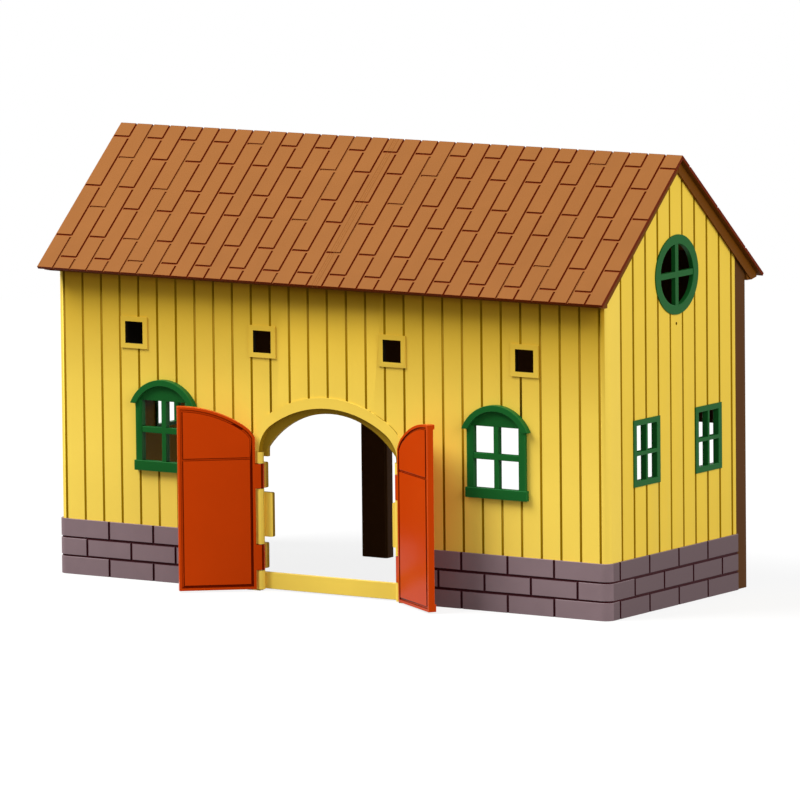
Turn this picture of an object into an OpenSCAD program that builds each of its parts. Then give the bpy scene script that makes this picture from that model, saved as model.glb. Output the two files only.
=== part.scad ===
// Toy barn with two opening doors, all sizes in millimetres.
// The front wall faces minus Y, the length runs along X, the foot stands on Z = 0.

/* [Body] */
// plank pitch on the front and gable walls
plank_w = 15; // [14.6:0.1:15.4]
// wall thickness
wall_t = 2.6; // [2.4:0.1:3]
// depth of the yellow walls, front face to rear edge
wall_depth = 157; // [152:1:162]
// radius of the upright front corners
corner_r = 5; // [3:0.5:6]
// width of the V grooves between planks
groove_w = 1.8; // [1:0.2:2.2]

/* [Roof] */
// height of the ridge line
ridge_z = 293.4; // [288:0.5:298]
// roof slope in degrees
roof_pitch = 41.2; // [40:0.2:42]
// thickness of the roof sheet
roof_t = 2.2; // [1.8:0.1:3]
// overhang of the roof past each gable
gable_overhang = 5.8; // [5:0.1:8]
// overhang of the eaves in front of the wall
eave_overhang = 14.7; // [12:0.1:17]
// width of one roof plank
roof_plank_w = 13.5; // [13:0.1:13.6]
// width of the grooves between roof planks
roof_groove_w = 1.2; // [0.6:0.1:1.4]
// depth of the grooves between roof planks
roof_groove_d = 0.7; // [0.4:0.1:1]
// depth of the board under each gable end of the roof
barge_h = 6; // [5:0.5:8]

/* [Doorway] */
// half width of the doorway
door_half_w = 54.5; // [52:0.5:57]
// height where the arch begins
spring_z = 92; // [90:0.5:95]
// rise of the arch above that height
arch_rise = 32; // [30:0.5:34]
// radius of the arch shoulders
haunch_r = 22; // [20:0.5:24]
// width of the raised surround
surround_w = 7; // [5:0.5:7]
// height of the surround above the wall face
surround_h = 0.8; // [0.4:0.1:1]
// depth of the stop lip behind the arch
stop_lip = 4; // [3:0.5:5]

/* [Doors] */
// opening angle of the left door in the rest pose
left_open = 140; // [90:1:150]
// opening angle of the right door in the rest pose
right_open = 146; // [90:1:150]
// thickness of a door leaf without its outer border
leaf_t = 4.5; // [4:0.1:4.8]
// width of the rim around the inner panel
door_rim_w = 2.1; // [1.8:0.1:3]
// gap between door edge and doorway
door_gap = 0.6; // [0.5:0.1:1]

/* [Hinges] */
// barrel diameter
barrel_d = 5.5; // [5:0.1:6]
// pin diameter
pin_d = 2.4; // [2:0.1:2.8]
// radial clearance of a pin in its bore
pin_play = 0.05; // [0.03:0.01:0.08]

/* [Stone base] */
// height of the stone base
stone_h = 37.1; // [33:0.5:40]
// how far the stones stand out from the wall
stone_out = 1.5; // [1.2:0.1:1.6]
// length of one stone
stone_len = 35.7; // [34:0.1:36.5]
// width of the joints between stones
joint_w = 1.3; // [0.8:0.1:1.8]

/* [Windows] */
// distance of the left front window from the middle
left_win_x = 129.2; // [126:0.2:134]
// distance of the right front window from the middle
right_win_x = 132; // [126:0.2:136]
// distance of the gable windows from the middle of the gable
gable_win_y = 37.8; // [34:0.5:42]
// outer radius of the round window
round_r = 26; // [24:0.5:28]

/* [Hidden] */
$fn = 96;
// gap between pieces of one assembly
fit = 0.1;
// gap between moving and fixed pieces
run = 0.4;
eps = 0.01;
planks = 28;
post_depth = 12.3;
mid_y = (wall_depth + post_depth - fit) / 2;
half_l = planks / 2 * plank_w + 5.6;
gable_planks = 9;
gable_groove_y = mid_y - gable_planks / 2 * plank_w;
roof_half_l = half_l + gable_overhang;
slope_tan = tan(roof_pitch);
slope_cos = cos(roof_pitch);
slope_len = (mid_y + eave_overhang) / slope_cos;
roof_drop = roof_t / slope_cos;
wall_top_gap = fit / slope_cos;
seam_w = 12;
soffit_z = 204.3;
crown_r = (door_half_w * door_half_w + arch_rise * arch_rise - 2 * door_half_w * haunch_r)
    / (2 * (arch_rise - haunch_r));
crown_z = spring_z + arch_rise - crown_r;
haunch_x = door_half_w - haunch_r;
hinge_x = door_half_w + 0.3;
wide = 4 * door_half_w;
hinge_y = 0.6;
barrel_r = barrel_d / 2;
bore_r = pin_d / 2 + pin_play;
knuckle_z = [1, 13.5, 31, 67.6, 84.5, 92];
leaf_start = barrel_r + 0.5;
leaf_in = barrel_r;
leaf_out = leaf_in - leaf_t;
border_h = 1;
leaf_bottom = 1.2;
lip_y = hinge_y + barrel_r + run;
lip_t = 2.7;
lip_r = 63.1;
lip_end_z = spring_z - 3.3;
rim_line = 1.2;
tall = 200;
stone_start = door_half_w + surround_w + 0.2;
course_h = stone_h / 3;
joint_d = 0.7;
front_joint_x = 103.8;
gable_joint_y = 12;
post_y = wall_depth + 0.2;
post_w = 19;
post_t = 3;
rear_bay_z = 108;
mid_post_x = 71.8;
mid_post_w = 20.8;
mid_post_chamfer = 1.2;
mid_post_y = [wall_depth + 3, wall_depth + 11];
rear_panel_y = [wall_depth + 7, wall_depth + 10];
hatch_x = [51, 153.3];
hatch_z = 165;
hatch_rim = 10.5;
hatch_hole = [7, 7.3];
win_bottom = 77.5;
win_top = 122.5;
win_half = 20.2;
gable_win_z = 83;
gable_win_h = 43.4;
gable_win_w = 32;
gable_frame_lap = 1.5;
gable_win_depth = 3.8;
round_z = 215.7;
round_lap = 2;
peg_hole_z = 183.7;
leaf_reach = hinge_x - 0.5;
front_reach = max([for (a = [left_open, right_open]) leaf_reach * sin(a) - leaf_in * cos(a)]) - hinge_y;
back_reach = 2 * mid_y + eave_overhang;
origin_y = (back_reach - front_reach) / 2;

yellow = [0.93, 0.78, 0.27];
stone = [0.46, 0.4, 0.41];
green = [0.12, 0.39, 0.2];
orange = [0.76, 0.24, 0.02];
brown = [0.66, 0.42, 0.2];
dark = [0.28, 0.18, 0.11];
steel = [0.7, 0.7, 0.72];

// moves the finished piece so that the origin is under the middle of the object
module place() {
    translate([0, -origin_y, 0]) children();
}

module flip_x(side) {
    if (side < 0) mirror([1, 0, 0]) children();
    else children();
}

// flat shape in X and Z, given thickness from y0 to y1
module front_slab(y0, y1) {
    translate([0, y1, 0]) rotate([90, 0, 0]) linear_extrude(y1 - y0) children();
}

// flat shape in Y and Z, given thickness from x0 to x1
module side_slab(x0, x1) {
    translate([x0, 0, 0]) rotate([90, 0, 90]) linear_extrude(x1 - x0) children();
}

module box(x0, x1, y0, y1, z0, z1) {
    translate([x0, y0, z0]) cube([x1 - x0, y1 - y0, z1 - z0]);
}

// upright V groove cutter, centred on x and y
module v_groove(x, y, z0, z1, w) {
    translate([x, y, z0]) rotate([0, 0, 45])
        translate([-w / sqrt(8), -w / sqrt(8), 0]) cube([w / sqrt(2), w / sqrt(2), z1 - z0]);
}

// space below the roof sheet, lowered by drop
module under_roof(drop) {
    top = ridge_z - drop;
    low = top - (mid_y + 40) * slope_tan;
    side_slab(-half_l - 40, half_l + 40)
        polygon([[-40, -1], [2 * mid_y + 40, -1], [2 * mid_y + 40, low], [mid_y, top], [-40, low]]);
}

// doorway outline with a three centred arch, moved outwards by grow
module arch(grow) {
    translate([-door_half_w - grow, -5])
        square([2 * (door_half_w + grow), spring_z + 5]);
    intersection() {
        union() {
            translate([haunch_x, spring_z]) circle(haunch_r + grow);
            translate([-haunch_x, spring_z]) circle(haunch_r + grow);
            intersection() {
                translate([0, crown_z]) circle(crown_r + grow, $fn = 192);
                polygon([
                    [0, crown_z],
                    [haunch_x * 3, crown_z + (spring_z - crown_z) * 3],
                    [-haunch_x * 3, crown_z + (spring_z - crown_z) * 3]
                ]);
            }
        }
        translate([-wide / 2, spring_z - eps]) square(wide);
    }
}

// plan of the outer body with rounded front corners, moved outwards by grow
module body_plan(grow) {
    x = half_l + grow;
    r = corner_r + grow;
    translate([-x, corner_r]) square([2 * x, wall_depth - corner_r]);
    translate([-x + r, -grow]) square([2 * (x - r), 60]);
    for (s = [-1, 1]) translate([s * (x - r), corner_r]) circle(r);
}

module rounded_rect(w, h, r) {
    translate([r, 0]) square([w - 2 * r, h]);
    translate([0, r]) square([w, h - 2 * r]);
    for (x = [r, w - r]) for (y = [r, h - r]) translate([x, y]) circle(r, $fn = 32);
}

// area under the two lower ends of the stop lip
module below_lip() {
    translate([-wide / 2, -wide]) square([wide, wide + lip_end_z]);
}

module front_window_hole() {
    front_slab(-2, wall_t + 2)
        translate([-win_half, win_bottom]) square([2 * win_half, win_top - win_bottom]);
}

module front_wall() {
    color(yellow) place() {
        difference() {
            union() {
                difference() {
                    intersection() {
                        linear_extrude(ridge_z) difference() {
                            body_plan(0);
                            translate([-half_l + wall_t, corner_r])
                                square([2 * (half_l - wall_t), wall_depth]);
                            translate([-half_l + corner_r, wall_t])
                                square([2 * (half_l - corner_r), wall_depth]);
                            for (s = [-1, 1]) translate([s * (half_l - corner_r), corner_r])
                                circle(corner_r - wall_t);
                            translate([-half_l - 1, gable_groove_y - fit / 2])
                                square([2 * half_l + 2, wall_depth]);
                        }
                        under_roof(roof_drop + wall_top_gap);
                    }
                    for (i = [0 : planks])
                        v_groove((i - planks / 2) * plank_w, 0, stone_h - 2, ridge_z, groove_w);
                    for (s = [-1, 1])
                        v_groove(s * half_l, gable_groove_y, -1, ridge_z, groove_w);
                    front_slab(-1, wall_t + 1) arch(0);
                }
                // raised surround
                front_slab(-surround_h, wall_t) difference() {
                    arch(surround_w);
                    arch(0);
                    translate([-wide / 2, -wide]) square(wide);
                }
                // raised rims of the small holes
                for (x = hatch_x) for (s = [-1, 1])
                    box(s * x - hatch_rim, s * x + hatch_rim, -0.9, wall_t,
                        hatch_z - hatch_rim, hatch_z + hatch_rim);
                // stop lip behind the arch
                front_slab(lip_y, lip_y + lip_t) difference() {
                    arch(4);
                    intersection() {
                        arch(-stop_lip);
                        translate([0, spring_z + arch_rise - stop_lip - lip_r]) circle(lip_r);
                    }
                    below_lip();
                }
                front_slab(wall_t - 0.2, lip_y + lip_t) difference() {
                    arch(4);
                    arch(0.2);
                    below_lip();
                }
                // jambs, stop tabs and hinge barrels
                for (s = [-1, 1]) flip_x(s) {
                    box(hinge_x + barrel_r + run + 0.1, door_half_w + surround_w,
                        wall_t - 0.2, lip_y + lip_t, 0, spring_z - 9);
                    front_slab(lip_y, lip_y + lip_t) {
                        translate([door_half_w - 2.5, 14.5]) rounded_rect(8, 17, 1);
                        translate([door_half_w - 7.3, 35.5]) rounded_rect(12.8, 29.5, 1);
                        translate([door_half_w - 2.5, 67.8]) rounded_rect(8, 17, 1);
                    }
                    for (k = [0, 2, 4])
                        translate([hinge_x, hinge_y, knuckle_z[k]])
                            cylinder(r = barrel_r, h = knuckle_z[k + 1] - knuckle_z[k]);
                }
            }
            for (s = [-1, 1]) flip_x(s) {
                // room for the door knuckles and the pin bore
                for (k = [1, 3])
                    translate([hinge_x, hinge_y, knuckle_z[k]])
                        cylinder(r = barrel_r + run, h = knuckle_z[k + 1] - knuckle_z[k]);
                translate([hinge_x, hinge_y, -1]) cylinder(r = bore_r, h = knuckle_z[5]);
                for (x = hatch_x)
                    box(x - hatch_hole[0], x + hatch_hole[0], -2, wall_t + 1,
                        hatch_z - hatch_hole[1], hatch_z + hatch_hole[1]);
            }
            for (x = [-left_win_x, right_win_x]) translate([x, 0, 0]) front_window_hole();
        }
    }
}

module gable_wall(side) {
    color(yellow) place() flip_x(side) difference() {
        intersection() {
            box(half_l - wall_t, half_l, gable_groove_y + fit / 2, wall_depth, 0, ridge_z);
            under_roof(roof_drop + wall_top_gap);
        }
        for (j = [0 : gable_planks])
            v_groove(half_l, gable_groove_y + j * plank_w, -1, ridge_z, groove_w);
        for (s = [-1, 1])
            box(half_l - 10, half_l + 1, mid_y + s * gable_win_y - gable_win_w / 2 + gable_frame_lap,
                mid_y + s * gable_win_y + gable_win_w / 2 - gable_frame_lap,
                gable_win_z + gable_frame_lap, gable_win_z + gable_win_h - gable_frame_lap);
        side_slab(half_l - 10, half_l + 1) {
            translate([mid_y, round_z]) circle(round_r - round_lap);
            translate([mid_y, peg_hole_z]) circle(1, $fn = 24);
        }
    }
}

// outline of the stone base in plan, with the inside at in and the outside at out
module stone_plan(inside, outside) {
    intersection() {
        difference() {
            body_plan(outside);
            body_plan(inside);
        }
        translate([stone_start, -20]) square([half_l, wall_depth + 20]);
    }
}

module stone_base(side) {
    color(stone) place() flip_x(side) difference() {
        linear_extrude(stone_h) stone_plan(fit, stone_out);
        for (c = [1, 2])
            translate([0, 0, c * course_h - joint_w / 2])
                linear_extrude(joint_w) stone_plan(stone_out - joint_d, stone_out + 1);
        for (c = [0 : 2]) for (k = [0 : 3]) {
            shift = c == 1 ? stone_len / 2 : 0;
            z0 = c == 0 ? -1 : c * course_h;
            z1 = c == 2 ? stone_h + 1 : (c + 1) * course_h;
            x = front_joint_x - shift + k * stone_len - joint_w / 2;
            y = gable_joint_y + shift + k * stone_len - joint_w / 2;
            // the corner stones of the top and bottom courses have no joint in front
            if (x < half_l - corner_r - joint_w)
                box(x, x + joint_w, -stone_out - 1, joint_d - stone_out, z0, z1);
            box(half_l + stone_out - joint_d, half_l + stone_out + 1, y, y + joint_w, z0, z1);
        }
    }
}

module threshold() {
    x = hinge_x + barrel_r + run;
    color(yellow) place() box(-x, x, lip_y, lip_y + lip_t, 1, 12);
}

// leaf outline of the right door, moved inwards by inset
module leaf_outline(inset) {
    intersection() {
        arch(-door_gap - inset);
        translate([0.5 + inset, leaf_bottom + inset])
            square([hinge_x - leaf_start - 0.5 - 2 * inset, tall]);
    }
}

// right door, closed
module closed_door() {
    difference() {
        union() {
            difference() {
                union() {
                    front_slab(hinge_y + leaf_out, hinge_y + leaf_in) leaf_outline(0);
                    front_slab(hinge_y + leaf_out - border_h, hinge_y + leaf_out + 1) intersection() {
                        difference() {
                            leaf_outline(0);
                            leaf_outline(4);
                        }
                        difference() {
                            square([hinge_x - 15, tall]);
                            translate([-1, leaf_bottom + 5]) square([6, spring_z + arch_rise - 10]);
                        }
                    }
                }
                // relief on the outer face beside the hinge
                translate([hinge_x - leaf_start, hinge_y + 1, -1]) rotate([0, 0, -160.5])
                    translate([-5, 0, 0]) cube([30, 10, tall]);
                // line around the inner panel
                front_slab(hinge_y + leaf_in - 0.8, hinge_y + leaf_in + 1) difference() {
                    leaf_outline(door_rim_w);
                    leaf_outline(door_rim_w + rim_line);
                }
                front_slab(hinge_y + leaf_in - 0.8, hinge_y + leaf_in + 1)
                    translate([door_rim_w + rim_line, 87.5])
                        square([hinge_x - leaf_start - 2 * door_rim_w - rim_line, 1]);
            }
            for (k = [1, 3]) translate([0, 0, knuckle_z[k] + run]) {
                translate([hinge_x, hinge_y, 0])
                    cylinder(r = barrel_r, h = knuckle_z[k + 1] - knuckle_z[k] - 2 * run);
                translate([hinge_x - leaf_start - 1, hinge_y + 1, 0])
                    cube([leaf_start + 1, leaf_in - 1, knuckle_z[k + 1] - knuckle_z[k] - 2 * run]);
            }
        }
        translate([hinge_x, hinge_y, -1]) cylinder(r = bore_r, h = tall);
    }
}

module hinged(angle) {
    translate([hinge_x, hinge_y, 0]) rotate([0, 0, angle]) translate([-hinge_x, -hinge_y, 0])
        children();
}

module left_door() {
    color(orange) place() flip_x(-1) hinged(left_open) closed_door();
}

module right_door() {
    color(orange) place() hinged(right_open) closed_door();
}

module hinge_pin(side) {
    color(steel) place() flip_x(side)
        translate([hinge_x, hinge_y, 1.2]) cylinder(d = pin_d, h = knuckle_z[5] - 1 - 1.2 - fit);
}

module front_window(side) {
    frame_half = 22.5;
    sill_half = 23.7;
    frame_out = 2.7;
    sill_out = 3.2;
    hood_out = 4.6;
    sill_z = [73.8, 80.5];
    hood_r = 28;
    hood_w = 4;
    hood_z = 135.1 - hood_r;
    pane_x = [1.75, 17.5];
    pane_z = [[sill_z[1], 99.2], [103.2, 120.8]];
    x = side < 0 ? -left_win_x : right_win_x;
    color(green) place() translate([x, 0, 0]) difference() {
        union() {
            front_slab(-frame_out, -fit) translate([-frame_half, sill_z[0] + 1])
                square([2 * frame_half, 46]);
            front_slab(-0.5, wall_t - 0.6) translate([-win_half + fit, win_bottom + fit])
                square([2 * (win_half - fit), win_top - win_bottom - 2 * fit]);
            front_slab(-sill_out, -fit) translate([-sill_half, sill_z[0]])
                square([2 * sill_half, sill_z[1] - sill_z[0]]);
            // arched hood and the panel behind it
            front_slab(-hood_out, -fit) intersection() {
                difference() {
                    translate([0, hood_z]) circle(hood_r);
                    translate([0, hood_z]) circle(hood_r - hood_w);
                }
                translate([-hood_r, win_top - hood_w]) square([2 * hood_r, hood_r]);
            }
            front_slab(0.8 - frame_out, -fit) intersection() {
                translate([0, hood_z]) circle(hood_r - 2);
                translate([-hood_r, win_top - 3]) square([2 * hood_r, hood_r]);
            }
        }
        // four panes
        for (s = [-1, 1]) for (z = pane_z) front_slab(-5, wall_t + 1)
            translate([s > 0 ? pane_x[0] : -pane_x[1], z[0]])
                square([pane_x[1] - pane_x[0], z[1] - z[0]]);
        // bars a little behind the frame
        front_slab(-5, 0.3 - frame_out) translate([-pane_x[1], pane_z[0][0]])
            square([2 * pane_x[1], pane_z[1][1] - pane_z[0][0]]);
    }
}

module gable_window(side, end) {
    frame_w = 3.8;
    y = mid_y + end * gable_win_y;
    half = gable_win_w / 2;
    top = gable_win_z + gable_win_h;
    inner = gable_frame_lap + fit;
    color(green) place() flip_x(side) difference() {
        union() {
            box(half_l + fit, half_l + 0.9, y - half, y + half, gable_win_z, top);
            box(half_l - gable_win_depth, half_l + 0.5, y - half + inner, y + half - inner,
                gable_win_z + inner, top - inner);
        }
        // four panes, the bars between them 2 wide and 2.6 high
        for (s = [-1, 1]) for (z = [[gable_win_z + frame_w, 103], [105.6, top - frame_w]])
            box(half_l - 10, half_l + 5, y + (s > 0 ? 1 : frame_w - half),
                y + (s > 0 ? half - frame_w : -1), z[0], z[1]);
    }
}

module round_window(side) {
    inner_r = round_r - 6;
    bar = 3.8;
    color(green) place() flip_x(side) translate([0, mid_y, round_z]) difference() {
        union() {
            side_slab(half_l + fit, half_l + 0.9) circle(round_r);
            side_slab(half_l - wall_t, half_l + 0.5) circle(round_r - round_lap - fit);
        }
        difference() {
            side_slab(half_l - 10, half_l + 5) circle(inner_r);
            box(half_l - wall_t, half_l + 0.6, -bar / 2, bar / 2, -inner_r - 1, inner_r + 1);
            box(half_l - wall_t, half_l + 0.6, -inner_r - 1, inner_r + 1, -bar / 2, bar / 2);
        }
    }
}

// shape on the rear slope: X along the ridge, Y down the slope, Z outwards
module on_slope() {
    translate([0, mid_y, ridge_z]) rotate([-roof_pitch, 0, 0]) children();
}

// groove number k between two roof planks, from s0 to s1 down the slope
module roof_groove(k, s0, s1) {
    translate([seam_w / 2 + k * roof_plank_w - roof_groove_w / 2, s0, -roof_groove_d])
        cube([roof_groove_w, s1 - s0, 2]);
}

// one half length of the rear slope, on the plus X side; each groove breaks below
// the joints of the plank on its inner side for lead 0, on its outer side for lead 1
module roof_panel(lead) {
    cols = 16;
    break_l = 2;
    // each joint stops short of the unbroken groove beside its plank
    joint_gap = 1.4;
    odd_joints = [0.093, 0.434, 0.777];
    even_joints = [0.236, 0.578, 0.92];
    in_x = half_l + 0.3;
    intersection() {
        union() {
            on_slope() difference() {
                translate([fit, -roof_t, -roof_t])
                    cube([roof_half_l - fit, slope_len + roof_t, roof_t]);
                for (k = [0 : cols - 1]) let (j = (k + lead) % 2 == 0 ? odd_joints : even_joints)
                    for (i = [0 : 3])
                        roof_groove(k, i == 0 ? -5 : j[i - 1] * slope_len + break_l,
                            i == 3 ? slope_len + 5 : j[i] * slope_len);
                for (k = [0 : cols]) for (j = k % 2 == 0 ? odd_joints : even_joints) {
                    x0 = k == 0 ? -1 : seam_w / 2 + (k - 1) * roof_plank_w + (1 - lead) * joint_gap;
                    x1 = seam_w / 2 + k * roof_plank_w - lead * joint_gap;
                    translate([x0, j * slope_len - roof_groove_w / 2, -roof_groove_d])
                        cube([x1 - x0, roof_groove_w, 2]);
                }
            }
            // board under the gable end
            intersection() {
                on_slope() translate([in_x, -12, -roof_t - barge_h])
                    cube([2, slope_len + 12, barge_h + 0.1]);
                box(in_x, in_x + 2, mid_y, back_reach - 3.4, soffit_z, ridge_z);
            }
            // rail under the eave, level at the bottom
            intersection() {
                box(fit, in_x + 1, 2 * mid_y + 0.6, 2 * mid_y + 4.6, soffit_z, ridge_z);
                under_roof(roof_drop - 0.1);
            }
        }
        box(0, roof_half_l + 1, mid_y + fit / 2, 2 * mid_y + 40, 100, ridge_z + 10);
    }
}

module roof(side, slope) {
    color(brown) place() flip_x(side)
        if (slope > 0) roof_panel(side > 0 ? 0 : 1);
        else translate([0, 2 * mid_y, 0]) mirror([0, 1, 0]) roof_panel(side > 0 ? 0 : 1);
}

module rear_upper_panel() {
    x = half_l - post_w - fit;
    color(dark) place() intersection() {
        box(-x, x, rear_panel_y[0], rear_panel_y[1], rear_bay_z, ridge_z);
        under_roof(roof_drop + wall_top_gap);
    }
}

module corner_post(side) {
    color(dark) place() flip_x(side) intersection() {
        difference() {
            box(half_l - post_w, half_l, post_y, post_y + post_depth, 0, ridge_z);
            box(half_l - post_w - 1, half_l - post_t, post_y - 1, post_y + post_depth - post_t,
                -1, ridge_z);
        }
        under_roof(roof_drop + wall_top_gap);
    }
}

module mid_post(side) {
    x0 = mid_post_x - mid_post_w / 2;
    x1 = mid_post_x + mid_post_w / 2;
    y0 = mid_post_y[0];
    c = mid_post_chamfer;
    color(dark) place() flip_x(side) linear_extrude(rear_bay_z - fit) polygon([
        [x0 + c, y0], [x1 - c, y0], [x1, y0 + c], [x1, mid_post_y[1]], [x0, mid_post_y[1]], [x0, y0 + c]
    ]);
}

front_wall();
gable_wall(-1);  // left_gable_wall
gable_wall(1);  // right_gable_wall
stone_base(-1);  // stone_base_left
stone_base(1);  // stone_base_right
threshold();
left_door();
right_door();
hinge_pin(-1);  // left_hinge_pin
hinge_pin(1);  // right_hinge_pin
front_window(-1);  // front_window_left
front_window(1);  // front_window_right
gable_window(-1, -1);  // left_gable_window_front
gable_window(-1, 1);  // left_gable_window_rear
gable_window(1, -1);  // right_gable_window_front
gable_window(1, 1);  // right_gable_window_rear
round_window(-1);  // left_round_window
round_window(1);  // right_round_window
roof(-1, -1);  // roof_front_left
roof(1, -1);  // roof_front_right
roof(-1, 1);  // roof_rear_left
roof(1, 1);  // roof_rear_right
rear_upper_panel();
corner_post(-1);  // rear_corner_post_left
corner_post(1);  // rear_corner_post_right
mid_post(-1);  // rear_mid_post_left
mid_post(1);  // rear_mid_post_right
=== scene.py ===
"""Dresses the toy barn: softened moulded edges, plastic finishes, plain studio light and camera."""

import logging
import math
from dataclasses import dataclass, field, replace
from enum import Enum

import bmesh
import bpy
from mathutils import Matrix, Vector

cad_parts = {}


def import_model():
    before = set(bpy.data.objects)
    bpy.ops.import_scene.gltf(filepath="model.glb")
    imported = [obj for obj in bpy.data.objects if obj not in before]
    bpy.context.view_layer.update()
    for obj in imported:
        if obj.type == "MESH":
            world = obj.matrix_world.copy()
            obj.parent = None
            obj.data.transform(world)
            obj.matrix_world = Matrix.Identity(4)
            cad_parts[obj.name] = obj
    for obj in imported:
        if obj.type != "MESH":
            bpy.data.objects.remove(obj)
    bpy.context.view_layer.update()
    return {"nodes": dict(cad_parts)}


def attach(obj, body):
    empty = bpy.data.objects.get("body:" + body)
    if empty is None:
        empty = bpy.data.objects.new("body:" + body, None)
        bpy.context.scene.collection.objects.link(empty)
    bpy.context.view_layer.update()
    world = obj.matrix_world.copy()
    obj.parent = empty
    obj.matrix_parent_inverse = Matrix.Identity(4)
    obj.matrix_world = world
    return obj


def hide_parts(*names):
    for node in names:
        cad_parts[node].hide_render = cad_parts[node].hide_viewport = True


LOG = logging.getLogger("barn")
MM = 0.001

# further out than the barn's walls, than its whole length or height, and below its foot, in mm
WIDE = 100.0
FAR = 300.0
BELOW = -1.0

WHITE = (1.0, 1.0, 1.0, 1.0)

# how closely a face is matched to its depth, in mm
SLACK = 0.1
HAIR = 0.05

# how a face stands to the main plane of its moulding, as the cosine between the two normals
FLANK = (0.6, 0.8)
FACING = (0.9, 1.0)
EDGE_ON = (0.0, 0.05)

# a colour mix has its share at input 0, its colours at inputs 6 and 7 and its result at output 2
MIX_SHARE, MIX_BASE, MIX_OVER, MIX_RESULT = 0, 6, 7, 2


class Grain(Enum):
    """The way in which the fine lines of a moulded surface run."""

    EVEN = (1.0, 1.0, 1.0)
    UPRIGHT = (1.0, 1.0, 0.08)
    DOWN_SLOPE = (1.0, 0.08, 0.08)


class Layer(Enum):
    """Face values that tell a finish where to lay painted shade and painted highlights."""

    PAINTED_RECESS_SHADE = "recess"
    EDGE = "edge"
    BACK = "back"
    PAINTED_EAVES_SHADE = "eaves"


def linear(hex_colour: str) -> tuple[float, float, float, float]:
    """Turns an sRGB hex colour to the linear values that a shader reads.

    Args:
        hex_colour: Six hex digits after a hash sign.

    Returns:
        Linear red, green, blue and an alpha of one.
    """
    parts = [int(hex_colour[i : i + 2], 16) / 255 for i in (1, 3, 5)]
    red, green, blue = (p / 12.92 if p <= 0.04045 else ((p + 0.055) / 1.055) ** 2.4 for p in parts)
    return red, green, blue, 1.0


def add_node(
    tree: bpy.types.NodeTree,
    kind: str,
    settings: dict[str, object] | None = None,
    values: dict[str | int, object] | None = None,
    links: dict[str | int, bpy.types.NodeSocket] | None = None,
) -> bpy.types.Node:
    """Adds one shader node with its settings, values and incoming links.

    Args:
        tree: The node tree of the material or world.
        kind: The node's type name.
        settings: Attributes to set on the node.
        values: Input values by socket name or number.
        links: Output sockets to link in, by input name or number.

    Returns:
        The new node.
    """
    made = tree.nodes.new(kind)
    for key, value in (settings or {}).items():
        setattr(made, key, value)
    for key, value in (values or {}).items():
        made.inputs[key].default_value = value
    for key, socket in (links or {}).items():
        tree.links.new(socket, made.inputs[key])
    return made


def empty_material(name: str) -> bpy.types.Material:
    """Makes a material with an empty node tree."""
    material = bpy.data.materials.new(name)
    material.use_nodes = True
    material.node_tree.nodes.clear()
    return material


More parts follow.
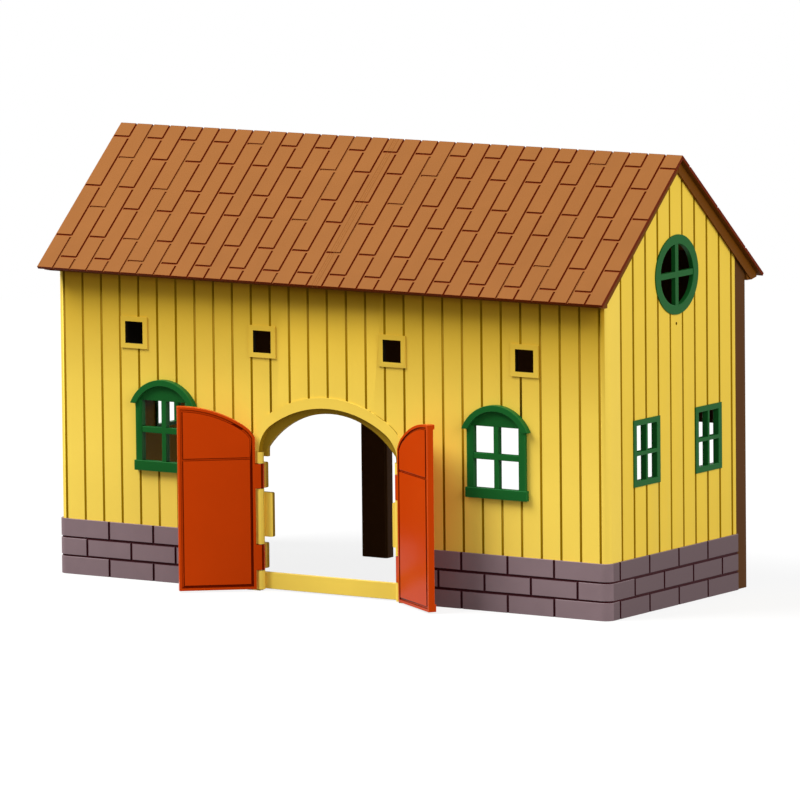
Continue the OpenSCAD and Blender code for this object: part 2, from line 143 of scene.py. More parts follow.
@dataclass(frozen=True)
class MouldedPlastic:
    """Injection moulded ABS: an even colour through the body and a faint satin grain from the tool.

    Painted shade darkens the grooves, undersides and inner faces, and a painted highlight
    lightens the rounded edges. The levels of painted shade under the eaves and inside are
    pairs of a height in mm and a colour, lowest first.
    """

    name: str
    body: str
    recess: str
    edge: str
    back: str
    roughness: float = 0.42
    specular: float = 0.3
    mottle: float = 0.05
    mottle_mm: float = 36.0
    grain: Grain = Grain.EVEN
    grain_mm: float = 1.2
    grain_height_mm: float = 0.02
    wave_mm: float = 45.0
    wave_height_mm: float = 0.0
    seam: str | None = None
    seam_mm: tuple[float, float] = (1.7, 0.25)
    edge_share: float = 0.7
    eaves: tuple[tuple[float, str], ...] = ()
    inside: tuple[tuple[float, str], ...] = ()

    def build(self) -> bpy.types.Material:
        """Makes the material.

        Returns:
            The finished material.
        """
        material = empty_material(self.name)
        tree = material.node_tree
        place = add_node(tree, "ShaderNodeTexCoord").outputs["Object"]
        colour = self._colour(tree, place)
        # a real tool grain is about 0.1 mm; it is drawn coarser here, so that it shows
        stretched = add_node(
            tree, "ShaderNodeMapping", values={"Scale": self.grain.value}, links={"Vector": place}
        ).outputs["Vector"]
        grain = self._noise(tree, stretched, self.grain_mm)
        wave = self._noise(tree, place, self.wave_mm)
        bump = add_node(
            tree,
            "ShaderNodeBump",
            values={"Strength": 1.0, "Distance": self.grain_height_mm * MM},
            links={"Height": grain},
        ).outputs["Normal"]
        # sink lines of a thin moulding: a slow wave that bends the reflections
        bump = add_node(
            tree,
            "ShaderNodeBump",
            values={"Strength": 1.0, "Distance": self.wave_height_mm * MM},
            links={"Height": wave, "Normal": bump},
        ).outputs["Normal"]
        gloss = add_node(
            tree,
            "ShaderNodeMapRange",
            values={"To Min": self.roughness - 0.05, "To Max": self.roughness + 0.07},
            links={"Value": grain},
        ).outputs["Result"]
        surface = add_node(
            tree,
            "ShaderNodeBsdfPrincipled",
            values={
                "IOR": 1.53,
                "Specular IOR Level": self.specular,
                "Specular Tint": linear(self.edge),
            },
            links={"Base Color": colour, "Roughness": gloss, "Normal": bump},
        )
        add_node(tree, "ShaderNodeOutputMaterial", links={"Surface": surface.outputs["BSDF"]})
        return material

    def _noise(
        self, tree: bpy.types.NodeTree, place: bpy.types.NodeSocket, size_mm: float
    ) -> bpy.types.NodeSocket:
        """Gives a noise whose patches are about size_mm wide."""
        return add_node(
            tree,
            "ShaderNodeTexNoise",
            values={"Scale": 1 / (size_mm * MM), "Detail": 3.0, "Roughness": 0.6},
            links={"Vector": place},
        ).outputs["Fac"]

    def _colour(
        self, tree: bpy.types.NodeTree, place: bpy.types.NodeSocket
    ) -> bpy.types.NodeSocket:
        """Mixes the body colour with its slow variation, painted shade and a painted highlight on
        the edges.

        Args:
            tree: The material's node tree.
            place: Object coordinates.

        Returns:
            The colour socket.
        """
        shade = add_node(
            tree,
            "ShaderNodeMapRange",
            values={"From Min": 0.3, "From Max": 0.7, "To Min": 1 - self.mottle, "To Max": 1.0},
            links={"Value": self._noise(tree, place, self.mottle_mm)},
        ).outputs["Result"]
        colour = add_node(
            tree,
            "ShaderNodeMix",
            {"data_type": "RGBA", "blend_type": "MULTIPLY"},
            values={MIX_SHARE: 1.0, MIX_BASE: linear(self.body)},
            links={MIX_OVER: shade},
        ).outputs[MIX_RESULT]
        if self.eaves:
            eaves_shade = self._attribute(tree, Layer.PAINTED_EAVES_SHADE)
            colour = self._mix(tree, eaves_shade, colour, self.eaves, place, "MULTIPLY")
        back_shade = self._attribute(tree, Layer.BACK)
        colour = self._mix(tree, back_shade, colour, self.inside or self.back, place)
        edge_highlight = self._attribute(tree, Layer.EDGE, self.edge_share)
        colour = self._mix(tree, edge_highlight, colour, self.edge)
        colour = self._mix(tree, self._attribute(tree, Layer.PAINTED_RECESS_SHADE), colour, self.recess)
        if self.seam:
            colour = self._mix(tree, self._seam_lines(tree, place), colour, self.seam)
        return colour

    def _mix(
        self,
        tree: bpy.types.NodeTree,
        share: bpy.types.NodeSocket,
        base: bpy.types.NodeSocket,
        over: str | tuple[tuple[float, str], ...],
        place: bpy.types.NodeSocket | None = None,
        blend: str = "MIX",
    ) -> bpy.types.NodeSocket:
        """Lays one colour over another by a share.

        Args:
            tree: The material's node tree.
            share: How much of the upper colour shows.
            base: The lower colour.
            over: The upper colour as a hex value, or pairs of a height in mm and a hex value.
            place: Object coordinates, for a colour that changes with the height.
            blend: How the two colours are blended.

        Returns:
            The mixed colour socket.
        """
        mix = add_node(
            tree,
            "ShaderNodeMix",
            {"data_type": "RGBA", "blend_type": blend},
            links={MIX_SHARE: share, MIX_BASE: base},
        )
        if isinstance(over, str):
            mix.inputs[MIX_OVER].default_value = linear(over)
        else:
            tree.links.new(self._by_height(tree, place, over), mix.inputs[MIX_OVER])
        return mix.outputs[MIX_RESULT]

    def _by_height(
        self,
        tree: bpy.types.NodeTree,
        place: bpy.types.NodeSocket,
        levels: tuple[tuple[float, str], ...],
    ) -> bpy.types.NodeSocket:
        """Gives a colour that runs through the given levels from the foot upwards.

        Args:
            tree: The material's node tree.
            place: Object coordinates.
            levels: Pairs of a height in mm and a hex colour, lowest first.

        Returns:
            The colour socket.
        """
        low, high = levels[0][0], levels[-1][0]
        height = add_node(tree, "ShaderNodeSeparateXYZ", links={"Vector": place}).outputs["Z"]
        share = add_node(
            tree,
            "ShaderNodeMapRange",
            values={"From Min": low * MM, "From Max": high * MM},
            links={"Value": height},
        ).outputs["Result"]
        ramp = add_node(tree, "ShaderNodeValToRGB", links={0: share})
        stops = ramp.color_ramp.elements
        while len(stops) < len(levels):
            stops.new(0.5)
        for stop, (level, tone) in zip(stops, levels):
            stop.position, stop.color = (level - low) / (high - low), linear(tone)
        return ramp.outputs["Color"]

    def _attribute(
        self, tree: bpy.types.NodeTree, layer: Layer, strength: float = 1.0
    ) -> bpy.types.NodeSocket:
        """Reads a face value that the mesh carries, times a strength."""
        read = add_node(tree, "ShaderNodeAttribute", {"attribute_name": layer.value})
        return add_node(
            tree,
            "ShaderNodeMath",
            {"operation": "MULTIPLY"},
            values={1: strength},
            links={0: read.outputs["Fac"]},
        ).outputs["Value"]

    def _seam_lines(
        self, tree: bpy.types.NodeTree, place: bpy.types.NodeSocket
    ) -> bpy.types.NodeSocket:
        """Draws the two thin moulding lines beside the middle seam of the roof."""
        across = add_node(tree, "ShaderNodeSeparateXYZ", links={"Vector": place}).outputs["X"]
        distance = add_node(
            tree, "ShaderNodeMath", {"operation": "ABSOLUTE"}, links={0: across}
        ).outputs["Value"]
        away, half_width = self.seam_mm
        return add_node(
            tree,
            "ShaderNodeMath",
            {"operation": "COMPARE"},
            values={1: away * MM, 2: half_width * MM},
            links={0: distance},
        ).outputs["Value"]


@dataclass(frozen=True)
class TurnedSteel:
    """Drawn steel wire for the hinge pins: grey metal with fine lengthwise lines."""

    name: str = "drawn steel wire"
    body: str = "#B9B9BC"
    line_mm: float = 0.25
    roughness: tuple[float, float] = (0.25, 0.45)

    def build(self) -> bpy.types.Material:
        """Makes the material.

        Returns:
            The finished material.
        """
        material = empty_material(self.name)
        tree = material.node_tree
        place = add_node(tree, "ShaderNodeTexCoord").outputs["Object"]
        stretched = add_node(
            tree,
            "ShaderNodeMapping",
            values={"Scale": Grain.UPRIGHT.value},
            links={"Vector": place},
        ).outputs["Vector"]
        lines = add_node(
            tree,
            "ShaderNodeTexNoise",
            values={"Scale": 1 / (self.line_mm * MM), "Detail": 2.0},
            links={"Vector": stretched},
        ).outputs["Fac"]
        gloss = add_node(
            tree,
            "ShaderNodeMapRange",
            values={"To Min": self.roughness[0], "To Max": self.roughness[1]},
            links={"Value": lines},
        ).outputs["Result"]
        surface = add_node(
            tree,
            "ShaderNodeBsdfPrincipled",
            values={"Base Color": linear(self.body), "Metallic": 1.0},
            links={"Roughness": gloss},
        )
        add_node(tree, "ShaderNodeOutputMaterial", links={"Surface": surface.outputs["BSDF"]})
        return material


@dataclass(frozen=True)
class Band:
    """Faces at a given depth below a main plane of a moulding, such as the sides of a groove."""

    layer: Layer
    point: Vector
    normal: Vector
    depth_mm: tuple[float, float]
    slant: tuple[float, float] = (0.0, 1.0)
    low: Vector = field(default_factory=lambda: Vector((-1, -1, -1)))
    high: Vector = field(default_factory=lambda: Vector((1, 1, 1)))
    share: float = 1.0

    def holds(self, face: bmesh.types.BMFace) -> bool:
        """Tells whether a face lies in this band.

        Args:
            face: A face of the merged moulding.

        Returns:
            True for a face within the depth, the slant and the box.
        """
        centre = face.calc_center_median()
        depth = (self.point - centre).dot(self.normal) / MM
        slant = abs(face.normal.dot(self.normal))
        boxed = all(a <= c <= b for a, c, b in zip(self.low, centre, self.high))
        deep = self.depth_mm[0] < depth < self.depth_mm[1]
        return boxed and deep and self.slant[0] <= slant <= self.slant[1]


@dataclass(frozen=True)
class CornerBand:
    """Joint faces that run round an upright rounded corner, between two radii."""

    layer: Layer
    axis: Vector
    radii_mm: tuple[float, float]
    top_mm: float
    foot_mm: float = 0.1
    share: float = 1.0

    def holds(self, face: bmesh.types.BMFace) -> bool:
        """Tells whether a face lies between the radii and below the top."""
        centre = face.calc_center_median()
        radius = (centre.xy - self.axis.xy).length / MM
        outward = (centre.x - self.axis.x) * self.axis.x > 0 and centre.y < self.axis.y
        between = self.radii_mm[0] < radius < self.radii_mm[1]
        return outward and between and self.foot_mm < centre.z / MM < self.top_mm


@dataclass(frozen=True)
class RoofFit:
    """The rails under the eaves, lowered from the solid's, and the closed middle seam, in mm."""

    mid_y: float
    reach: tuple[float, float]
    below_z: float
    drop: float
    seam: float = 0.11

    def apply(self, work: bmesh.types.BMesh) -> None:
        """Moves the bottom corners of the rails down and the ends at the seam together."""
        for vert in work.verts:
            away = abs(vert.co.y / MM - self.mid_y)
            if self.reach[0] < away < self.reach[1] and vert.co.z / MM < self.below_z:
                vert.co.z -= self.drop * MM
            if abs(vert.co.x / MM) < self.seam:
                vert.co.x = 0.0


@dataclass
class Moulding:
    """One moulded piece: a merged copy of its solid with softened edges."""

    node: str
    body: str
    slot: str
    edge_mm: float = 0.25
    bands: tuple[Band | CornerBand, ...] = ()
    fit: RoofFit | None = None
    finish: str | None = None
    merge_m: float = 1e-6
    flat_deg: float = 0.4
    bevel_deg: float = 28.0
    shade_deg: float = 32.0
    room: float = 2.3

    def build(self, source: bpy.types.Object, finish: bpy.types.Material) -> bpy.types.Object:
        """Makes the piece and lets it stand for its solid.

        Args:
            source: The CAD node that is copied.
            finish: The material of the piece.

        Returns:
            The new piece.
        """
        work = bmesh.new()
        work.from_mesh(source.data)
        bmesh.ops.remove_doubles(work, verts=work.verts, dist=self.merge_m)
        if self.fit:
            self.fit.apply(work)
        bmesh.ops.dissolve_limit(
            work, angle_limit=math.radians(self.flat_deg), verts=work.verts, edges=work.edges
        )
        layers = {layer: work.faces.layers.float.new(layer.value) for layer in Layer}
        for face in work.faces:
            for band in self.bands:
                if band.holds(face):
                    face[layers[band.layer]] = band.share
        self._soften(work, layers)
        mesh = bpy.data.meshes.new(f"{self.node}_moulded")
        work.to_mesh(mesh)
        work.free()
        mesh.shade_smooth()
        mesh.set_sharp_from_angle(angle=math.radians(self.shade_deg))
        mesh.materials.append(finish)
        piece = bpy.data.objects.new(f"{self.node}_moulded", mesh)
        even = piece.modifiers.new("even normals", "WEIGHTED_NORMAL")
        even.mode, even.weight, even.keep_sharp = "FACE_AREA", 90, True
        bpy.context.scene.collection.objects.link(piece)
        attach(piece, self.body)
        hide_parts(self.node)
        return piece

    def _soften(self, work: bmesh.types.BMesh, layers: dict[Layer, object]) -> None:
        """Bevels the sharp outer edges that have room for it.

        Args:
            work: The merged moulding.
            layers: The face value layers.
        """
        width = self.edge_mm * MM
        if width <= 0:
            return
        cramped = {v for e in work.edges if e.calc_length() < self.room * width for v in e.verts}
        sharp = [
            e
            for e in work.edges
            if len(e.link_faces) == 2
            and e.calc_face_angle(0) > math.radians(self.bevel_deg)
            and e.is_convex
            and not cramped.intersection(e.verts)
        ]
        made = bmesh.ops.bevel(
            work,
            geom=sharp,
            offset=width,
            offset_type="OFFSET",
            segments=2,
            profile=0.5,
            affect="EDGES",
            clamp_overlap=False,
            material=-1,
        )
        recess = layers[Layer.PAINTED_RECESS_SHADE]
        rounded = set(made["faces"])
        # the rounded faces get the painted edge highlight instead of the painted recess shade
        for face in rounded:
            face[layers[Layer.EDGE]] = 1.0
            face[recess] = 0.0
        # the rounded rims of a groove take the groove's painted shade; each rim is two faces wide
        for _ in range(2):
            rims = [
                f for f in rounded if any(g[recess] > 0.5 for e in f.edges for g in e.link_faces)
            ]
            for face in rims:
                face[recess] = 1.0


@dataclass
class SubAssembly:
    """A group of mouldings; each kind of group says which mouldings it has."""

    body: str = "barn"

    def mouldings(self) -> list[Moulding]:
        """Lists the group's mouldings."""
        raise NotImplementedError

    def build(
        self, nodes: dict[str, bpy.types.Object], finishes: dict[str, bpy.types.Material]
    ) -> None:
        """Builds and dresses every moulding of the group.

        Args:
            nodes: The CAD nodes by name.
            finishes: The materials by name; most are named after their slot.
        """
        for moulding in self.mouldings():
            finish = finishes[moulding.finish or moulding.slot]
            piece = moulding.build(nodes[moulding.node], finish)
            LOG.info("%s: %d faces", piece.name, len(piece.data.polygons))


@dataclass
class Walls(SubAssembly):
    """The yellow plank walls and the threshold bar."""

    front_y: float = -73.745
    half_l: float = 215.6
    corner_r: float = 5.0
    wall_t: float = 2.6
    crown_z: float = 124.0
    reveal_x: float = 55.0
    hole_x: tuple[float, float] = (51.0, 153.3)
    hole_z: float = 165.0
    hole_half: float = 8.0
    lip_y: float = 3.75
    lip_x: float = 60.0
    lip_foot_z: float = 85.0
    mid_y: float = 10.855
    peg_z: float = 183.7
    peg_half: float = 2.5
    # depths below the outer face between which the faces of each form lie
    groove_mm: tuple[float, float] = (0.02, 0.95)
    reveal_mm: tuple[float, float] = (-0.8, 8.0)
    eaves_mm: tuple[float, float] = (-2.0, 1.0)
    hole_mm: tuple[float, float] = (-0.9, 3.0)
    peg_mm: tuple[float, float] = (0.3, 5.0)
    lip_deep: float = 3.0
    reveal_foot_z: float = 12.0
    reveal_share: float = 0.93
    lip_share: float = 0.86
    gable_edge_mm: float = 0.2
    threshold_edge_mm: float = 0.3
    # the painted shade under the eaves fades in from the left corner: where it starts, and its
    # share
    eaves_from: tuple[tuple[float, float], ...] = ((-209.0, 0.5), (-194.0, 1.0))

    def mouldings(self) -> list[Moulding]:
        """Lists the front wall, both gable walls and the threshold bar."""
        gables = [self._gable(-1, "left"), self._gable(1, "right")]
        return [
            Moulding("front_wall", self.body, "yellow_wall", 0.0, self._front_bands()),
            *gables,
            Moulding("threshold", self.body, "yellow_wall", self.threshold_edge_mm),
        ]

    def _front_bands(self) -> tuple[Band, ...]:
        """Gives the bands of painted shade on the front wall: grooves, inner face, doorway, eaves
        and holes.
        """
        out = Vector((0, -1, 0))
        flat = self.half_l - self.corner_r
        face = Vector((0, self.front_y, 0)) * MM
        grooves = Band(
            Layer.PAINTED_RECESS_SHADE,
            face,
            out,
            self.groove_mm,
            FLANK,
            Vector((-flat, -WIDE, BELOW)) * MM,
            Vector((flat, WIDE, FAR)) * MM,
        )
        # the inner face gets painted shade
        inside = Band(Layer.BACK, face, out, (self.wall_t - SLACK, self.wall_t + SLACK), FACING)
        # the doorway's reveal and the lip behind it get painted recess shade at their shares
        reveal = Band(
            Layer.PAINTED_RECESS_SHADE,
            face,
            out,
            self.reveal_mm,
            EDGE_ON,
            Vector((-self.reveal_x, -WIDE, self.reveal_foot_z)) * MM,
            Vector((self.reveal_x, WIDE, self.crown_z + 1)) * MM,
            self.reveal_share,
        )
        lip = Band(
            Layer.PAINTED_RECESS_SHADE,
            face,
            out,
            (self.lip_y - SLACK - HAIR, self.lip_y + self.lip_deep),
            low=Vector((-self.lip_x, -WIDE, self.lip_foot_z)) * MM,
            high=Vector((self.lip_x, WIDE, self.crown_z + 4)) * MM,
            share=self.lip_share,
        )
        # the painted shade under the eaves
        eaves = [
            Band(
                Layer.PAINTED_EAVES_SHADE,
                face,
                out,
                self.eaves_mm,
                low=Vector((x, -WIDE, BELOW)) * MM,
                share=share,
            )
            for x, share in self.eaves_from
        ]
        # the hatch holes get painted shade inside
        holes = []
        for x in (-self.hole_x[1], -self.hole_x[0], self.hole_x[0], self.hole_x[1]):
            low = Vector((x - self.hole_half, -WIDE, self.hole_z - self.hole_half)) * MM
            high = Vector((x + self.hole_half, WIDE, self.hole_z + self.hole_half)) * MM
            holes.append(Band(Layer.BACK, face, out, self.hole_mm, EDGE_ON, low, high))
        return (grooves, inside, reveal, lip, *eaves, *holes)

    def _gable(self, side: int, name: str) -> Moulding:
        """Gives one gable wall.

        Args:
            side: -1 for the left wall and 1 for the right one.
            name: The side in words.

        Returns:
            The wall with its grooves, inner face and peg hole.
        """
        face = Vector((side * self.half_l, 0, 0)) * MM
        out = Vector((side, 0, 0))
        peg = Vector((0, self.mid_y, self.peg_z))
        around = Vector((FAR, self.peg_half, self.peg_half))
        bands = (
            Band(Layer.PAINTED_RECESS_SHADE, face, out, self.groove_mm, FLANK),
            Band(Layer.BACK, face, out, (self.wall_t - SLACK, self.wall_t + SLACK), FACING),
            Band(
                Layer.PAINTED_RECESS_SHADE,
                face,
                out,
                self.peg_mm,
                low=(peg - around) * MM,
                high=(peg + around) * MM,
            ),
        )
        return Moulding(
            f"{name}_gable_wall",
            self.body,
            "yellow_wall",
            self.gable_edge_mm,
            bands,
            finish="yellow_gable_painted_shade",
        )


@dataclass
class StoneBase(SubAssembly):
    """The two wrapped courses of moulded stones at the foot."""

    front_y: float = -73.745
    half_l: float = 215.6
    corner_r: float = 5.0
    stone_out: float = 1.5
    joint_d: float = 0.7
    height: float = 37.1
    rear_y: float = 82.9
    doorway_x: float = 62.0
    edge_mm: float = 0.25

    def mouldings(self) -> list[Moulding]:
        """Lists both sides, with painted shade in the joints between their stones and on their
        ends.
        """
        deep = (SLACK, self.joint_d + HAIR)
        top = self.height - 0.2
        made = []
        for side, name in ((-1, "left"), (1, "right")):
            corner = side * (self.half_l - self.corner_r)
            low, high = sorted((side * self.doorway_x, corner))
            front = Band(
                Layer.PAINTED_RECESS_SHADE,
                Vector((0, self.front_y - self.stone_out, 0)) * MM,
                Vector((0, -1, 0)),
                deep,
                low=Vector((low, -WIDE, BELOW)) * MM,
                high=Vector((high, self.front_y, top)) * MM,
            )
            end = Vector((side * (self.half_l + self.stone_out), 0, 0)) * MM
            # the stone ends that face the gables get a darker painted shade
            shaded = Band(Layer.BACK, end, Vector((side, 0, 0)), (-SLACK, SLACK), FACING)
            gable = Band(
                Layer.PAINTED_RECESS_SHADE,
                end,
                Vector((side, 0, 0)),
                deep,
                low=Vector((-FAR, self.front_y + self.corner_r, BELOW)) * MM,
                high=Vector((FAR, self.rear_y, top)) * MM,
            )
            bend = CornerBand(
                Layer.PAINTED_RECESS_SHADE,
                Vector((corner, self.front_y + self.corner_r, 0)) * MM,
                (
                    self.corner_r + self.stone_out - self.joint_d - SLACK,
                    self.corner_r + self.stone_out - 0.12,
                ),
                top,
            )
            bands = (shaded, front, gable, bend)
            node = f"stone_base_{name}"
            made.append(Moulding(node, self.body, "stone_base", self.edge_mm, bands))
        return made


@dataclass
class Windows(SubAssembly):
    """The green windows of the front and of both gables."""

    edge_mm: float = 0.35

    def mouldings(self) -> list[Moulding]:
        """Lists all the windows."""
        sides = ("left", "right")
        names = [f"front_window_{side}" for side in sides]
        names += [f"{side}_round_window" for side in sides]
        names += [f"{side}_gable_window_{end}" for side in sides for end in ("front", "rear")]
        return [Moulding(n, self.body, "green_window", self.edge_mm) for n in names]


@dataclass
class Roof(SubAssembly):
    """The four roof panels with painted shade in their plank grooves and on their edges and
    undersides.
    """

    ridge_z: float = 293.4
    mid_y: float = 10.855
    pitch: float = 41.2
    groove_d: float = 0.7
    rail: tuple[float, float] = (85.0, 89.4)
    soffit_z: float = 204.3
    rail_drop: float = 1.3
    under_mm: float = 40.0
    edge_mm: float = 0.2

    def mouldings(self) -> list[Moulding]:
        """Lists the panels with painted shade in their grooves and on all that lies below the outer
        face.
        """
        tilt = math.radians(self.pitch)
        ridge = Vector((0, self.mid_y, self.ridge_z)) * MM
        fit = RoofFit(self.mid_y, self.rail, self.soffit_z + 0.2, self.rail_drop)
        made = []
        for slope, place in ((-1, "front"), (1, "rear")):
            normal = Vector((0, slope * math.sin(tilt), math.cos(tilt)))
            grooves = Band(Layer.PAINTED_RECESS_SHADE, ridge, normal, (SLACK, self.groove_d + HAIR))
            under = Band(Layer.BACK, ridge, normal, (self.groove_d + HAIR, self.under_mm))
            for name in ("left", "right"):
                node = f"roof_{place}_{name}"
                bands = (grooves, under)
                made.append(Moulding(node, self.body, "brown_roof", self.edge_mm, bands, fit))
        return made


@dataclass
class Doors(SubAssembly):
    """The two door leaves, each on its own body."""

    hinge_x: float = 54.8
    hinge_y: float = -73.145
    face: float = 2.75
    left_open: float = 140.0
    right_open: float = 146.0
    line_mm: tuple[float, float] = (0.05, 0.85)
    edge_mm: float = 0.3

    def mouldings(self) -> list[Moulding]:
        """Lists the leaves with painted shade in the line round their inner panel."""
        made = []
        for side, name, angle in ((-1, "left", self.left_open), (1, "right", self.right_open)):
            normal = Vector((0, 1, 0))
            normal.rotate(Matrix.Rotation(math.radians(angle) * side, 3, "Z"))
            pivot = Vector((side * self.hinge_x, self.hinge_y, 0)) * MM
            line = Band(Layer.PAINTED_RECESS_SHADE, pivot + normal * self.face * MM, normal, self.line_mm)
            node, body = f"{name}_door", f"{name}_leaf"
            made.append(Moulding(node, body, "orange_door", self.edge_mm, (line,)))
        return made


@dataclass
class RearFrame(SubAssembly):
    """The dark rear posts and the upper rear panel."""

    edge_mm: float = 0.4

    def mouldings(self) -> list[Moulding]:
        """Lists the posts and the panel."""
        names = ["rear_upper_panel"]
        names += [f"rear_{k}_post_{side}" for k in ("corner", "mid") for side in ("left", "right")]
        return [Moulding(n, self.body, "dark_frame", self.edge_mm) for n in names]


@dataclass
class HingePins(SubAssembly):
    """The two steel pins of the doors."""

    edge_mm: float = 0.2

    def mouldings(self) -> list[Moulding]:
        """Lists the pins."""
        names = [f"{side}_hinge_pin" for side in ("left", "right")]
        return [Moulding(n, self.body, "steel_pin", self.edge_mm) for n in names]


# In each finish, recess and back are colours of painted shade, edge is a painted highlight that
# also tints the gloss, and the eaves and inside levels paint shade by height
YELLOW = MouldedPlastic(
    name="moulded ABS, yellow",
    body="#FBD85A",
    recess="#8E6A00",
    edge="#FBE07C",
    back="#916A04",
    roughness=0.45,
    specular=0.09,
    mottle=0.03,
    grain=Grain.UPRIGHT,
    # painted shade that darkens the front wall towards the eaves
    eaves=(
        (85.0, "#FFFFFF"),
        (130.0, "#F5F3EA"),
        (150.0, "#E9E4D4"),
        (185.0, "#DACD9C"),
        (199.0, "#C8B068"),
        (203.0, "#A08040"),
    ),
    # painted shade that darkens the inner faces and holes upwards to near black
    inside=((96.0, "#916A04"), (104.0, "#2A1A04"), (140.0, "#0C0602")),
)
FINISHES = {
    "yellow_wall": YELLOW,
    # the gable walls take a darker copy of the yellow: painted shade for the side walls
    "yellow_gable_painted_shade": replace(
        YELLOW, name="moulded ABS, yellow gable", body="#F6D04C", edge="#F6D868"
    ),
    "stone_base": MouldedPlastic(
        name="moulded ABS, purple grey",
        body="#8A7579",
        recess="#3C1A1F",
        edge="#9C888B",
        back="#6E5C5F",
        roughness=0.5,
        specular=0.1,
        mottle=0.12,
    ),
    "green_window": MouldedPlastic(
        name="moulded ABS, green",
        body="#1A5C26",
        recess="#0A3414",
        edge="#266A34",
        back="#1A5C26",
        roughness=0.4,
        specular=0.16,
        mottle=0.06,
    ),
    "orange_door": MouldedPlastic(
        name="glossy moulded ABS, orange red",
        body="#C84008",
        recess="#701800",
        edge="#E0602A",
        back="#C84008",
        roughness=0.18,
        specular=0.05,
        mottle=0.04,
        grain_height_mm=0.004,
        wave_height_mm=0.12,
    ),
    "brown_roof": MouldedPlastic(
        name="moulded ABS, roof brown",
        body="#8D592C",
        recess="#641F00",
        edge="#986030",
        back="#6C3E0E",
        roughness=0.5,
        specular=0.08,
        mottle=0.08,
        grain=Grain.DOWN_SLOPE,
        seam="#7A481C",
    ),
    "dark_frame": MouldedPlastic(
        name="moulded ABS, dark brown",
        body="#5A381A",
        recess="#20130C",
        edge="#6A4A30",
        back="#5A381A",
        roughness=0.45,
        specular=0.05,
        mottle=0.08,
    ),
    "steel_pin": TurnedSteel(),
}


@dataclass(frozen=True)
class Lamp:
    """One square soft lamp: where it stands and its side in metres, and its power in watts."""

    name: str
    place: tuple[float, float, float]
    size: float
    power: float


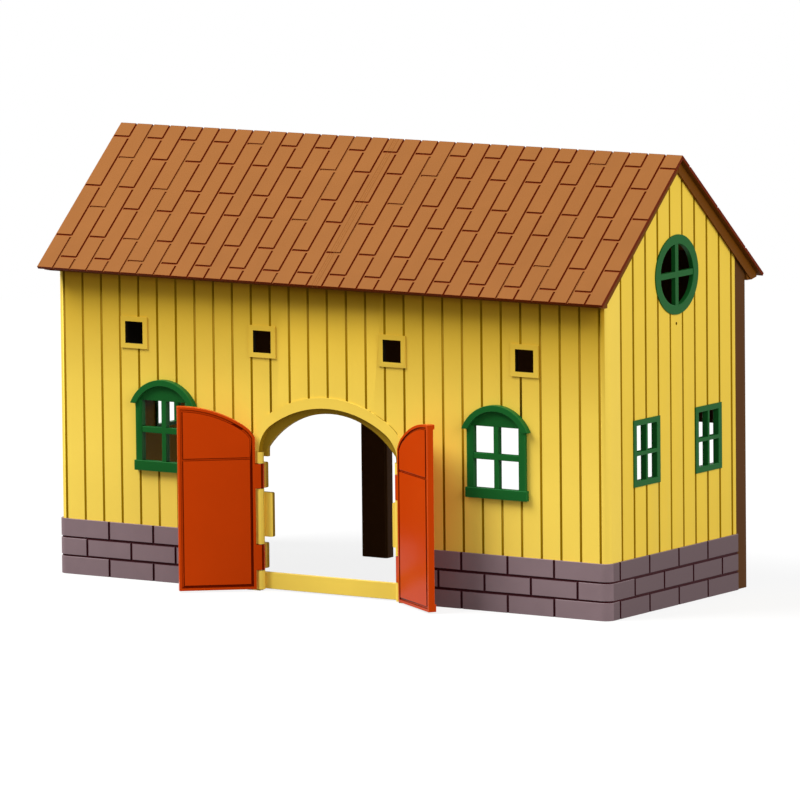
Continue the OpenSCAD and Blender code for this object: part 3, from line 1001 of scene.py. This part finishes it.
@dataclass(frozen=True)
class Studio:
    """Pale floor, plain soft light and the camera of the photograph."""

    azimuth: float = 33.579
    pitch: float = 7.5065
    roll: float = -0.598
    place: tuple[float, float, float] = (3.57572, -5.374765, 0.97179)
    focal_px: float = 9884.42
    image_px: float = 800.0
    sensor_mm: float = 36.0
    clip: tuple[float, float] = (0.5, 60.0)
    floor_r: float = 1.6
    floor_shade: tuple[float, float] = (0.2, 0.95)
    floor_glow: float = 0.85
    world_strength: float = 0.3
    aim: tuple[float, float, float] = (0.0, 0.0, 0.13)
    lamps: tuple[Lamp, ...] = (
        Lamp("key", (-1.94, -1.62, 3.23), 2.2, 228.0),
        Lamp("fill", (3.5, -1.0, 1.85), 2.4, 110.0),
    )

    def camera(self) -> None:
        """Places the camera."""
        data = bpy.data.cameras.new("camera")
        data.sensor_width = self.sensor_mm
        data.lens = self.focal_px / self.image_px * data.sensor_width
        data.clip_start, data.clip_end = self.clip
        turn, tilt, roll = (math.radians(a) for a in (self.azimuth, self.pitch, self.roll))
        back = Vector(
            (math.sin(turn) * math.cos(tilt), -math.cos(turn) * math.cos(tilt), math.sin(tilt))
        )
        right = Vector((math.cos(turn), math.sin(turn), 0))
        up = right.cross(-back)
        across = right * math.cos(roll) + up * math.sin(roll)
        upward = up * math.cos(roll) - right * math.sin(roll)
        camera = bpy.data.objects.new("camera", data)
        facing = Matrix((across, upward, back)).transposed().to_4x4()
        camera.matrix_world = Matrix.Translation(self.place) @ facing
        bpy.context.scene.collection.objects.link(camera)
        bpy.context.scene.camera = camera

    def seen(self, tree: bpy.types.NodeTree) -> bpy.types.NodeSocket:
        """Gives 1 where the camera, a gloss or a see-through surface looks, and 0 for plain light.

        Args:
            tree: The node tree of the floor or the world.

        Returns:
            The value socket.
        """
        path = add_node(tree, "ShaderNodeLightPath")
        gloss = add_node(
            tree,
            "ShaderNodeMath",
            {"operation": "MAXIMUM"},
            links={0: path.outputs["Is Glossy Ray"], 1: path.outputs["Is Transmission Ray"]},
        ).outputs["Value"]
        return add_node(
            tree,
            "ShaderNodeMath",
            {"operation": "MAXIMUM"},
            links={0: path.outputs["Is Camera Ray"], 1: gloss},
        ).outputs["Value"]

    def floor(self) -> None:
        """Lays a round pale floor that reads white and keeps the object's shadow."""
        work = bmesh.new()
        bmesh.ops.create_circle(work, cap_ends=True, segments=128, radius=self.floor_r)
        mesh = bpy.data.meshes.new("floor")
        work.to_mesh(mesh)
        work.free()
        floor = bpy.data.objects.new("floor", mesh)
        bpy.context.scene.collection.objects.link(floor)
        material = empty_material("pale studio floor")
        tree = material.node_tree
        # the sweep round a product gives back little light from below, so its bounce is kept low
        level = add_node(
            tree,
            "ShaderNodeMapRange",
            values={"To Min": self.floor_shade[0], "To Max": self.floor_shade[1]},
            links={"Value": self.seen(tree)},
        ).outputs["Result"]
        matt = add_node(tree, "ShaderNodeBsdfDiffuse", links={"Color": level})
        white = add_node(tree, "ShaderNodeEmission", values={"Color": WHITE, "Strength": 1.0})
        share = add_node(
            tree,
            "ShaderNodeMath",
            {"operation": "MULTIPLY"},
            values={1: self.floor_glow},
            links={0: self.seen(tree)},
        ).outputs["Value"]
        mixed = add_node(
            tree,
            "ShaderNodeMixShader",
            links={0: share, 1: matt.outputs["BSDF"], 2: white.outputs["Emission"]},
        )
        add_node(tree, "ShaderNodeOutputMaterial", links={"Surface": mixed.outputs["Shader"]})
        mesh.materials.append(material)

    def world(self) -> None:
        """Makes the world: white where it is seen, and soft grey light elsewhere."""
        world = bpy.data.worlds.new("studio")
        world.use_nodes = True
        tree = world.node_tree
        tree.nodes.clear()
        level = add_node(
            tree,
            "ShaderNodeMapRange",
            values={"To Min": self.world_strength, "To Max": 1.0},
            links={"Value": self.seen(tree)},
        ).outputs["Result"]
        background = add_node(
            tree, "ShaderNodeBackground", values={"Color": WHITE}, links={"Strength": level}
        )
        add_node(tree, "ShaderNodeOutputWorld", links={"Surface": background.outputs["Background"]})
        bpy.context.scene.world = world

    def light(self, lamp: Lamp) -> None:
        """Adds one lamp that faces the middle of the object.

        Args:
            lamp: The lamp's place, size and power.
        """
        data = bpy.data.lights.new(lamp.name, "AREA")
        data.shape, data.size, data.energy = "SQUARE", lamp.size, lamp.power
        light = bpy.data.objects.new(lamp.name, data)
        light.location = lamp.place
        light.rotation_mode = "QUATERNION"
        toward = Vector(self.aim) - Vector(lamp.place)
        light.rotation_quaternion = toward.to_track_quat("-Z", "Y")
        bpy.context.scene.collection.objects.link(light)

    def build(self) -> None:
        """Sets up the camera, floor, world and lamps."""
        self.camera()
        self.floor()
        self.world()
        for lamp in self.lamps:
            self.light(lamp)


def main() -> None:
    """Builds the barn's pieces, their finishes and the studio."""
    logging.basicConfig(level=logging.INFO, format="%(message)s")
    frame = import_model()
    finishes = {name: finish.build() for name, finish in FINISHES.items()}
    for group in (Walls(), StoneBase(), Windows(), Roof(), Doors(), RearFrame(), HingePins()):
        group.build(frame["nodes"], finishes)
    Studio().build()
    bpy.context.scene.view_settings.view_transform = "Standard"


if __name__ == "__main__":
    main()
